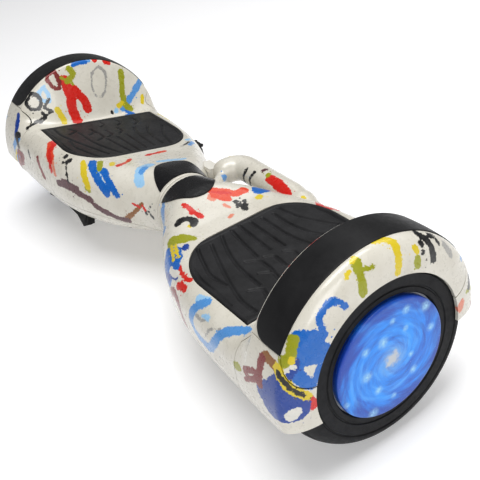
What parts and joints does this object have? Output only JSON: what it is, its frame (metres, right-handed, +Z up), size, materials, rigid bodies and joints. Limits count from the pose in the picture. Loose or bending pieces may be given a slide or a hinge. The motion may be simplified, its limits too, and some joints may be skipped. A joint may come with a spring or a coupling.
{
  "type": "self balancing hoverboard",
  "caption": "Two-wheeled self balancing board with twisting halves, rubber foot pads, fender arches over hub-motor wheels and a moulded carrying handle.",
  "frame": {"origin": "middle of the board's bounding box, on the ground under the tyres", "axes": "+X along the board towards the half with the carrying handle, -Y forwards as the rider faces, +Z up"},
  "size_m": [0.584, 0.1853, 0.1755],
  "materials": {
    "shell_print": "gloss off-white with an abstract paint-splash print",
    "strip_black": "satin black",
    "trim_black": "satin black",
    "ring_white": "gloss",
    "pad_rubber": "moulded matte black with grooves",
    "feet_rubber": "matte black",
    "tyre_rubber": "matte black",
    "cap_print": "gloss blue swirl print",
    "cast_alloy": "as cast, machined on seats",
    "steel": "bright steel",
    "zinc_screw": "black zinc",
    "magnet": "nickel plated",
    "winding": "enamelled winding on a laminated core",
    "board": "green circuit board",
    "battery_wrap": "blue shrink wrap",
    "bush_plastic": "acetal",
    "switch_metal": "satin metal",
    "cover_rubber": "soft black"
  },
  "bodies": {
    "right": {"right_upper_shell": "shell_print", "right_lower_shell": "shell_print", "right_bumper_strip": "strip_black", "right_neck_trim": "trim_black", "right_seam_ring": "ring_white", "right_sensor_board": "board", "right_shell_screws": "zinc_screw", "right_rubber_feet": "feet_rubber", "right_axle_clamp": "cast_alloy", "right_clamp_screws": "zinc_screw", "right_axle": "steel", "right_stator": "winding", "right_frame": "cast_alloy", "carry_handle": "shell_print", "pivot_shaft": "steel", "pivot_circlip": "steel", "stop_pin": "steel", "shaft_screws": "zinc_screw", "main_board": "board", "speaker": "strip_black"},
    "left": {"left_upper_shell": "shell_print", "left_lower_shell": "shell_print", "left_bumper_strip": "strip_black", "left_neck_trim": "trim_black", "left_seam_ring": "ring_white", "left_sensor_board": "board", "left_shell_screws": "zinc_screw", "left_rubber_feet": "feet_rubber", "left_axle_clamp": "cast_alloy", "left_clamp_screws": "zinc_screw", "left_axle": "steel", "left_stator": "winding", "left_frame": "cast_alloy", "handle_guide": "ring_white", "pivot_bushes": "bush_plastic", "battery_pack": "battery_wrap", "power_bezel": "switch_metal", "charge_inlet": "switch_metal", "cover_pin": "strip_black"},
    "right_wheel": {"right_tyre": "tyre_rubber", "right_hub_rim": "cast_alloy", "right_hub_cover": "cast_alloy", "right_hub_cap": "cap_print", "right_magnet_ring": "magnet", "right_wheel_bearings": "steel"},
    "right_pad": {"right_foot_pad": "pad_rubber"},
    "left_wheel": {"left_tyre": "tyre_rubber", "left_hub_rim": "cast_alloy", "left_hub_cover": "cast_alloy", "left_hub_cap": "cap_print", "left_magnet_ring": "magnet", "left_wheel_bearings": "steel"},
    "left_pad": {"left_foot_pad": "pad_rubber"},
    "power_button": {"power_button": "switch_metal"},
    "charge_cover": {"charge_cover": "cover_rubber"}
  },
  "joints": [
    {"name": "twist", "type": "hinge", "parent": "right", "child": "left", "pos_m": [0, 0, 0.084], "axis": [1, 0, 0], "range_deg": [-5.2, 30.8]},
    {"name": "right_wheel_spin", "type": "hinge", "parent": "right", "child": "right_wheel", "pos_m": [0.264, 0, 0.0825], "axis": [1, 0, 0], "continuous": true},
    {"name": "left_wheel_spin", "type": "hinge", "parent": "left", "child": "left_wheel", "pos_m": [-0.264, -0.00033, 0.08254], "axis": [1, 0, 0], "continuous": true},
    {"name": "right_pad_press", "type": "slide", "parent": "right", "child": "right_pad", "axis": [0, 0, -1], "range_m": [0, 0.0015], "stiffness_N_per_m": 8000},
    {"name": "left_pad_press", "type": "slide", "parent": "left", "child": "left_pad", "axis": [0, -0.2215, -0.9751], "range_m": [0, 0.0015], "stiffness_N_per_m": 8000},
    {"name": "power_press", "type": "slide", "parent": "left", "child": "power_button", "axis": [0, -0.9751, 0.2215], "range_m": [0, 0.0012], "stiffness_N_per_m": 400},
    {"name": "cover_hinge", "type": "hinge", "parent": "left", "child": "charge_cover", "pos_m": [-0.128, 0.08741, 0.07286], "axis": [1, 0, 0], "range_deg": [0, 105]}
  ]
}
